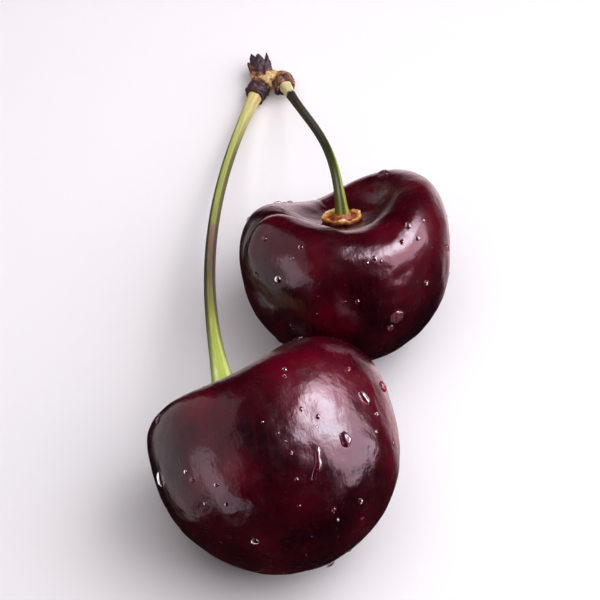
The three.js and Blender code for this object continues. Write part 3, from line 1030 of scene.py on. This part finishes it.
def bead_tree():
    """Scatters flat-bottomed drops on a skin, small ones often and large ones seldom."""
    inputs = [("Skin", "Geometry")]
    inputs += [(size, "Float") for size in ("Spacing", "Density", "Smallest", "Largest")]
    inputs += [("Seed", "Int"), ("Finish", "Material")]
    tree, given = growing_tree("water beads", inputs, "Beads")
    wet = add(tree, "GeometryNodeInputNamedAttribute", {"Name": "wet"}, data_type="FLOAT")
    scatter = add(
        tree, "GeometryNodeDistributePointsOnFaces",
        {"Mesh": given["Skin"], "Distance Min": given["Spacing"], "Density Max": given["Density"],
         "Density Factor": wet, "Seed": given["Seed"]},
        distribute_method="POISSON",
    ).outputs
    ball = add(tree, "GeometryNodeMeshUVSphere", {"Segments": 20, "Rings": 12, "Radius": 1.0})
    chance = add(tree, "FunctionNodeRandomValue", {"Seed": given["Seed"]}, data_type="FLOAT")
    seldom = add(tree, "ShaderNodeMath", {0: chance, 1: RARITY}, operation="POWER")
    size = add(
        tree, "ShaderNodeMapRange", {"Value": seldom, "To Min": given["Smallest"], "To Max": given["Largest"]}
    )
    shape = add(
        tree, "FunctionNodeRandomValue", {"Min": FLATTEST_BEAD, "Max": ROUNDEST_BEAD, "Seed": 7},
        data_type="FLOAT_VECTOR",
    )
    scale = add(tree, "ShaderNodeVectorMath", {"Vector": shape, "Scale": size}, operation="SCALE")
    beads = add(
        tree, "GeometryNodeInstanceOnPoints",
        {"Points": scatter["Points"], "Instance": ball, "Rotation": scatter["Rotation"], "Scale": scale},
    )
    real = add(tree, "GeometryNodeRealizeInstances", {"Geometry": beads})
    smooth = add(tree, "GeometryNodeSetShadeSmooth", {"Geometry": real})
    finished = add(tree, "GeometryNodeSetMaterial", {"Geometry": smooth, "Material": given["Finish"]})
    add(tree, "NodeGroupOutput", {"Beads": finished})
    return tree


def water_beads(fruit, cherry, tree, material):
    """The smallest drops of one fruit. They cling to its upper sides, in patches, and not near the table."""
    places = read_points(fruit.data, "co") / MM
    patches = np.array([noise.noise(Vector(place) * WET_PATCHES) for place in places])
    wet = np.clip(WET_BETWEEN + WET_CONTRAST * patches, 0, 1)
    keep_on_points(fruit.data, "wet", wet * (places[:, 2] > DRY_BELOW))
    sizes = {
        "Spacing": BEAD_SPACING * MM,
        "Density": BEADS_TO_SQUARE_METRE,
        "Smallest": SMALLEST_BEAD * MM,
        "Largest": LARGEST_BEAD * MM,
        "Seed": cherry.bead_seed,
        "Finish": material,
    }
    settle(grown(fruit, tree, cherry.node + "_beads", **sizes), "cherry_skin")


@dataclass
class Drop:
    """A larger drop: where it is seen from the camera, right and up of its fruit's middle, and its size."""

    right: float
    up: float
    length: float
    width: float
    turn: float  # degrees from upright, clockwise
    lumps: float = 0.06  # how far its edge wanders, as a share of its width


DROPS = {
    "cherry_large": [
        Drop(6.8, 3.1, 1.7, 1.3, -20), Drop(3.9, 0.6, 3.6, 0.75, 8, 0.35), Drop(4.0, 5.4, 0.6, 0.5, -20),
        Drop(2.3, 6.2, 0.6, 0.4, -10), Drop(8.8, 7.2, 1.7, 0.8, -50), Drop(0.6, 10.2, 0.5, 0.45, 0),
        Drop(0.6, 9.5, 0.4, 0.4, 0), Drop(-12.3, -1.4, 1.7, 0.9, -20, 0.15), Drop(-0.1, 3.8, 0.45, 0.28, 60),
        Drop(1.3, 1.8, 0.5, 0.26, 0), Drop(0.7, 3.0, 0.3, 0.22, -40), Drop(-1.6, 4.9, 0.26, 0.24, 0),
        Drop(10.1, 5.5, 0.5, 0.35, -30), Drop(10.0, 3.7, 0.5, 0.35, -10), Drop(2.1, -3.6, 0.35, 0.25, 80),
        Drop(1.8, -0.9, 0.45, 0.4, 0), Drop(-9.5, -0.3, 0.5, 0.45, 0), Drop(-6.3, -1.5, 0.6, 0.45, 70),
        Drop(-7.5, -3.5, 0.4, 0.35, 0), Drop(-5.3, -3.5, 0.45, 0.4, 0), Drop(-8.8, -1.0, 0.35, 0.35, 0),
        Drop(-2.4, -7.4, 1.0, 0.8, 70), Drop(8.4, -3.4, 0.7, 0.6, 0), Drop(6.0, -5.2, 0.5, 0.45, 0),
    ],
    "cherry_small": [
        Drop(6.3, 4.7, 0.9, 0.75, 0), Drop(7.3, 3.4, 0.6, 0.6, 0), Drop(5.6, 3.0, 0.8, 0.5, 30, 0.2),
        Drop(7.9, 5.3, 0.5, 0.5, 0), Drop(2.6, 1.2, 0.6, 0.6, 0), Drop(1.8, 0.7, 0.5, 0.4, 0),
        Drop(3.3, 0.9, 0.4, 0.4, 0), Drop(-7.6, -1.0, 0.9, 0.8, 20), Drop(8.3, -1.4, 0.6, 0.5, 0),
        Drop(0.8, -3.4, 0.5, 0.5, 0), Drop(-5.2, 2.4, 0.5, 0.5, 0),
    ],
}


def drop_shape(fruit, cherry, drop, seed):
    """A drop that lies on the skin: each point of its footprint is carried to the skin and raised from there.

    Its first rings are the wetted skin under it, from the middle out. The rest is water, from its edge up.
    """
    right, up, near = camera_axes()
    middle = Vector(cherry.centre) * MM
    before = middle + (right * drop.right + up * drop.up) * MM + near * CLEAR_OF_FRUIT * MM
    _, at, normal, _ = fruit.ray_cast(before, -near)
    across = (right - normal * right.dot(normal)).normalized()
    along = normal.cross(across)
    turn = math.radians(drop.turn)
    long_way = along * math.cos(turn) + across * math.sin(turn)
    short_way = across * math.cos(turn) - along * math.sin(turn)
    rng = np.random.default_rng(seed)
    waves = [(k, rng.uniform(-1, 1), rng.uniform(0, TURN)) for k in (2, 3, 5)]
    turns = np.linspace(0, TURN, DROP_SIDES, endpoint=False)
    edge = 1 + drop.lumps * sum(size * np.sin(k * turns + phase) for k, size, phase in waves)
    height = DROP_HEIGHT * min(drop.width, DROP_FLATTENS_AT)

    def ring(reach, rise):
        row = []
        for wander, turned_by in zip(edge * reach, turns):
            u = drop.length / 2 * wander * math.cos(turned_by)
            v = drop.width / 2 * wander * math.sin(turned_by)
            over = at + (long_way * u + short_way * v) * MM + normal * CLEAR_OF_SKIN * MM
            _, foot, lean, _ = fruit.ray_cast(over, -normal)
            row.append(foot / MM + lean * rise)
        return np.array(row)

    rows = [ring(reach, WETTED_LIFT) for reach in WETTED_RINGS]
    for level in np.linspace(0.0, math.pi / 2, DROP_STEPS + 1)[:-1]:
        rows.append(ring(math.cos(level) ** 0.8, math.sin(level) * height))
    return skin_over(rows)


def placed_drops(fruit, cherry, water, wetted):
    """The larger drops of one fruit, as one piece of two finishes: water above, and wetted skin below."""
    bpy.context.view_layer.update()
    shapes = [drop_shape(fruit, cherry, drop, seed) for seed, drop in enumerate(DROPS[cherry.node])]
    finishes = []
    for points, faces in shapes:
        middle = len(points) - 2
        wetted_points = {*range(DROP_SIDES * len(WETTED_RINGS)), middle}
        finishes += [int(wetted_points.issuperset(face)) for face in faces]
    piece = make_piece(cherry.node + "_drops", *joined(shapes), water)
    piece.data.materials.append(wetted)
    piece.data.polygons.foreach_set("material_index", finishes)
    settle(piece, "cherry_skin")


# ---------------------------------------------------------------- the studio

VIEW_ELEVATION = math.radians(62)
VIEW_CENTRE = Vector((2.6, 20.5, 8.0)) * MM
VIEW_DISTANCE = 300 * MM
VIEW_WIDTH = 66 * MM
SENSOR_WIDTH = 36
NEAREST_SEEN = 10 * MM
TABLE_SIZE = 3.0

# The room is dark but for two soft bright patches behind the fruit, which light its far rims. Each is given
# by how far it lies to the right of and above the line from the camera through the fruit.
RIM_PATCHES = ((0.1, 0.6), (0.48, 0.36))
RIM_EDGE = 0.89  # the cosines of the angles from a patch's middle at which it starts and is at its brightest
RIM_CORE = 0.985
RIM_LIGHT = 1.9
DARK_ROOM = 0.012


def camera_axes():
    """Right, up and towards-the-camera as unit vectors in the row frame."""
    rise, run = math.sin(VIEW_ELEVATION), math.cos(VIEW_ELEVATION)
    return Vector((1, 0, 0)), Vector((0, rise, run)), Vector((0, -run, rise))


def beside_camera(across, rise):
    """From the cherries, a direction so many degrees right of the camera and so many above its axis."""
    right, up, near = camera_axes()
    across, rise = math.radians(across), math.radians(rise)
    level = right * math.sin(across) + near * math.cos(across)
    return level * math.cos(rise) + up * math.sin(rise)


@dataclass
class SoftBox:
    """A lamp that faces the cherries, with its distance and size in metres.

    At a radiance of 1 it would look as bright as white paper. It is seen by gloss alone and shapes the
    highlights, or by matte surfaces alone and fills the shadows.
    """

    name: str
    direction: Vector
    distance: float
    size: tuple
    radiance: float
    colour: str
    seen_by: str
    roll: float = 0.0  # degrees about the line to the cherries


SOFT_BOXES = [
    SoftBox("key", beside_camera(46, 28), 0.40, (0.14, 0.16), 18.0, "#ccfcff", "gloss", -20),
    SoftBox("key_halo", beside_camera(46, 31), 0.42, (0.28, 0.28), 8.5, "#eaf6ff", "gloss", -20),
    SoftBox("key_box", beside_camera(60, 17), 0.46, (0.46, 0.62), 9.0, "#ffe6f6", "gloss", -28),
    SoftBox("key_fill", Vector((0.7, 0.1, 0.7)), 0.50, (0.60, 0.60), 2.2, "#ffffff", "matte"),
    SoftBox("side_panel", beside_camera(-81, 8), 0.42, (0.85, 0.98), 1.2, "#faf0f4", "gloss", -14),
    SoftBox("low_panel", beside_camera(-52, -25), 0.42, (0.42, 0.19), 3.0, "#f6eeff", "gloss", -22),
    SoftBox("overhead", Vector((0, 0, 1)), 0.15, (0.20, 0.20), 1.9, "#ffffff", "matte"),
]


def hang(box):
    """Hangs one soft box where it faces the middle of the view."""
    light = bpy.data.lights.new(box.name, "AREA")
    light.shape = "RECTANGLE"
    light.size, light.size_y = box.size
    light.energy = box.radiance * box.size[0] * box.size[1] * math.pi
    light.color = paint(box.colour)[:3]
    lamp = bpy.data.objects.new(box.name, light)
    bpy.context.scene.collection.objects.link(lamp)
    at = VIEW_CENTRE + box.direction.normalized() * box.distance
    facing = box.direction.to_track_quat("Z", "Y").to_matrix().to_4x4()
    lamp.matrix_world = Matrix.Translation(at) @ facing @ Matrix.Rotation(math.radians(box.roll), 4, "Z")
    lamp.visible_camera = False
    lamp.visible_diffuse = box.seen_by != "gloss"
    lamp.visible_glossy = box.seen_by != "matte"


def dark_room():
    """The world: dark, with the bright patches that light the fruit's far rims."""
    right, up, near = camera_axes()
    world = bpy.data.worlds.new("studio")
    bpy.context.scene.world = world
    world.use_nodes = True
    tree = world.node_tree
    tree.nodes.clear()
    looked = add(tree, "ShaderNodeTexCoord").outputs["Generated"]
    closest = 0.0
    for aside, above in RIM_PATCHES:
        patch = (right * aside + up * above - near).normalized()
        cosine = add(tree, "ShaderNodeVectorMath", {0: looked, 1: patch}, operation="DOT_PRODUCT")
        closest = add(tree, "ShaderNodeMath", {0: closest, 1: cosine}, operation="MAXIMUM")
    level = add(tree, "ShaderNodeMapRange", {
        "Value": closest,
        "From Min": RIM_EDGE,
        "From Max": RIM_CORE,
        "To Min": DARK_ROOM,
        "To Max": RIM_LIGHT,
    })
    sky = add(tree, "ShaderNodeBackground", {"Color": paint("#ffe2ea"), "Strength": level})
    add(tree, "ShaderNodeOutputWorld", {"Surface": sky})


def white_table():
    """White painted board, matte. It is left out of the gloss, where it would grey the fruit's dark sides."""
    bpy.ops.mesh.primitive_plane_add(size=TABLE_SIZE)
    table = bpy.context.object
    table.name = "table"
    material, tree = new_material("white_table")
    shader = add(tree, "ShaderNodeBsdfPrincipled", {"Base Color": paint("#f0eaef"), "Roughness": 0.6})
    add(tree, "ShaderNodeOutputMaterial", {"Surface": shader})
    table.data.materials.append(material)
    table.visible_glossy = False


def camera():
    """Looks down on the cherries from the front. Colours are shown as they are."""
    near = camera_axes()[2]
    lens = bpy.data.cameras.new("camera")
    lens.sensor_width = SENSOR_WIDTH
    lens.lens = SENSOR_WIDTH * VIEW_DISTANCE / VIEW_WIDTH
    lens.clip_start = NEAREST_SEEN
    viewer = bpy.data.objects.new("camera", lens)
    bpy.context.scene.collection.objects.link(viewer)
    at = Matrix.Translation(VIEW_CENTRE + near * VIEW_DISTANCE)
    viewer.matrix_world = at @ near.to_track_quat("Z", "Y").to_matrix().to_4x4()
    bpy.context.scene.camera = viewer
    bpy.context.scene.view_settings.view_transform = "Standard"


# ---------------------------------------------------------------- everything together


def main():
    skin = cherry_skin()
    water = clear_water()
    wetted = wetted_skin()
    beads = bead_tree()
    for cherry in (LARGE, SMALL):
        fruit = cherry_fruit(cherry, skin)
        water_beads(fruit, cherry, beads, water)
        placed_drops(fruit, cherry, water, wetted)
    sweep = stalk_tree()
    cork = corky_collar()
    for stalk in (LARGE_STALK, SMALL_STALK):
        green = stalk_green(stalk.node + "_green", STALK_COLOURS[stalk.node])
        fresh_stalk(stalk, sweep, green)
        collar(stalk, cork)
    woody_spur(spur_bark())
    for box in SOFT_BOXES:
        hang(box)
    dark_room()
    white_table()
    camera()


main()
